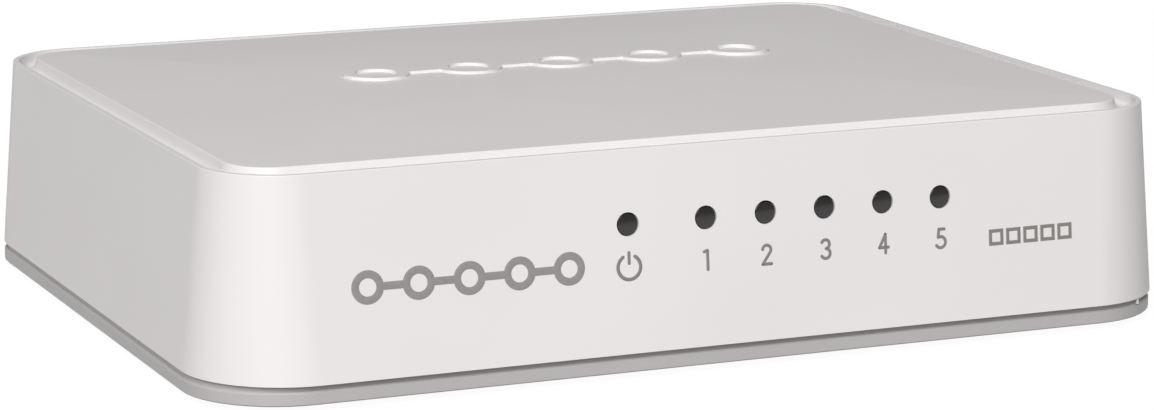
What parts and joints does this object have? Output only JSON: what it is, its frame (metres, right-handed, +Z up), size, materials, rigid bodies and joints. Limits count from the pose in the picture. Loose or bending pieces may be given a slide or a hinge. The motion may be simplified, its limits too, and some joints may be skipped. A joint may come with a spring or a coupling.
{
  "type": "desktop network switch",
  "caption": "Low white desktop network switch with a recessed moat around a crowned top, front indicator lenses, rear plug ports, a barrel power inlet and a grey base tray.",
  "frame": {"origin": "middle of the footprint, on the surface the rubber feet stand on", "axes": "+X along the long side, -Y towards the indicator side, +Y towards the port side, +Z up"},
  "size_m": [0.1214, 0.0964, 0.0274],
  "materials": {
    "shell_white": "fine satin moulding",
    "tray_grey": "satin moulding",
    "foot_rubber": "matt",
    "screw_steel": "zinc plated",
    "label_foil": "satin foil",
    "board_mask": "solder mask",
    "chip_black": "moulding compound",
    "pad_grey": "soft pad",
    "sink_aluminium": "anodised",
    "magnetics_black": "potted case",
    "crystal_can": "nickel",
    "capacitor_sleeve": "shrink sleeve",
    "ferrite": "pressed",
    "lens_smoked": "polished",
    "diode": "clear epoxy",
    "holder_black": "matt",
    "jack_black": "matt moulding",
    "contact_gold": "gold flashed",
    "inlet_black": "matt moulding",
    "inlet_nickel": "nickel plated"
  },
  "bodies": {
    "case": {"base_tray": "tray_grey", "board_screw_1": "screw_steel", "board_screw_2": "screw_steel", "board_screw_3": "screw_steel", "board_screw_4": "screw_steel", "capacitor_input": "capacitor_sleeve", "capacitor_output": "capacitor_sleeve", "case_screw_front_left": "screw_steel", "case_screw_front_right": "screw_steel", "case_screw_rear_left": "screw_steel", "case_screw_rear_right": "screw_steel", "crystal": "crystal_can", "dc_inlet_housing": "inlet_black", "dc_inlet_pin": "inlet_nickel", "dc_inlet_spring": "inlet_nickel", "flash_chip": "chip_black", "foot_front_left": "foot_rubber", "foot_front_right": "foot_rubber", "foot_rear_left": "foot_rubber", "foot_rear_right": "foot_rubber", "heat_sink": "sink_aluminium", "jack_housing": "jack_black", "led_port_1": "diode", "led_port_2": "diode", "led_port_3": "diode", "led_port_4": "diode", "led_port_5": "diode", "led_power": "diode", "light_guide_holder": "holder_black", "light_guide_port_1": "lens_smoked", "light_guide_port_2": "lens_smoked", "light_guide_port_3": "lens_smoked", "light_guide_port_4": "lens_smoked", "light_guide_port_5": "lens_smoked", "light_guide_power": "lens_smoked", "magnetics_1": "magnetics_black", "magnetics_2": "magnetics_black", "magnetics_3": "magnetics_black", "magnetics_4": "magnetics_black", "magnetics_5": "magnetics_black", "pcb": "board_mask", "power_inductor": "ferrite", "rating_label": "label_foil", "regulator_ic": "chip_black", "switch_ic": "chip_black", "thermal_pad": "pad_grey", "top_shell": "shell_white"},
    "contacts_1": {"port_contacts_1": "contact_gold"},
    "contacts_2": {"port_contacts_2": "contact_gold"},
    "contacts_3": {"port_contacts_3": "contact_gold"},
    "contacts_4": {"port_contacts_4": "contact_gold"},
    "contacts_5": {"port_contacts_5": "contact_gold"}
  },
  "joints": [
    {"name": "contact_flex_1", "type": "hinge", "parent": "case", "child": "contacts_1", "pos_m": [-0.02, 0.043, 0.01135], "axis": [1, 0, 0], "range_deg": [0, 14], "stiffness_Nm_per_rad": 0.2},
    {"name": "contact_flex_2", "type": "hinge", "parent": "case", "child": "contacts_2", "pos_m": [-0.006, 0.043, 0.01135], "axis": [1, 0, 0], "range_deg": [0, 14], "stiffness_Nm_per_rad": 0.2},
    {"name": "contact_flex_3", "type": "hinge", "parent": "case", "child": "contacts_3", "pos_m": [0.008, 0.043, 0.01135], "axis": [1, 0, 0], "range_deg": [0, 14], "stiffness_Nm_per_rad": 0.2},
    {"name": "contact_flex_4", "type": "hinge", "parent": "case", "child": "contacts_4", "pos_m": [0.022, 0.043, 0.01135], "axis": [1, 0, 0], "range_deg": [0, 14], "stiffness_Nm_per_rad": 0.2},
    {"name": "contact_flex_5", "type": "hinge", "parent": "case", "child": "contacts_5", "pos_m": [0.036, 0.043, 0.01135], "axis": [1, 0, 0], "range_deg": [0, 14], "stiffness_Nm_per_rad": 0.2}
  ]
}
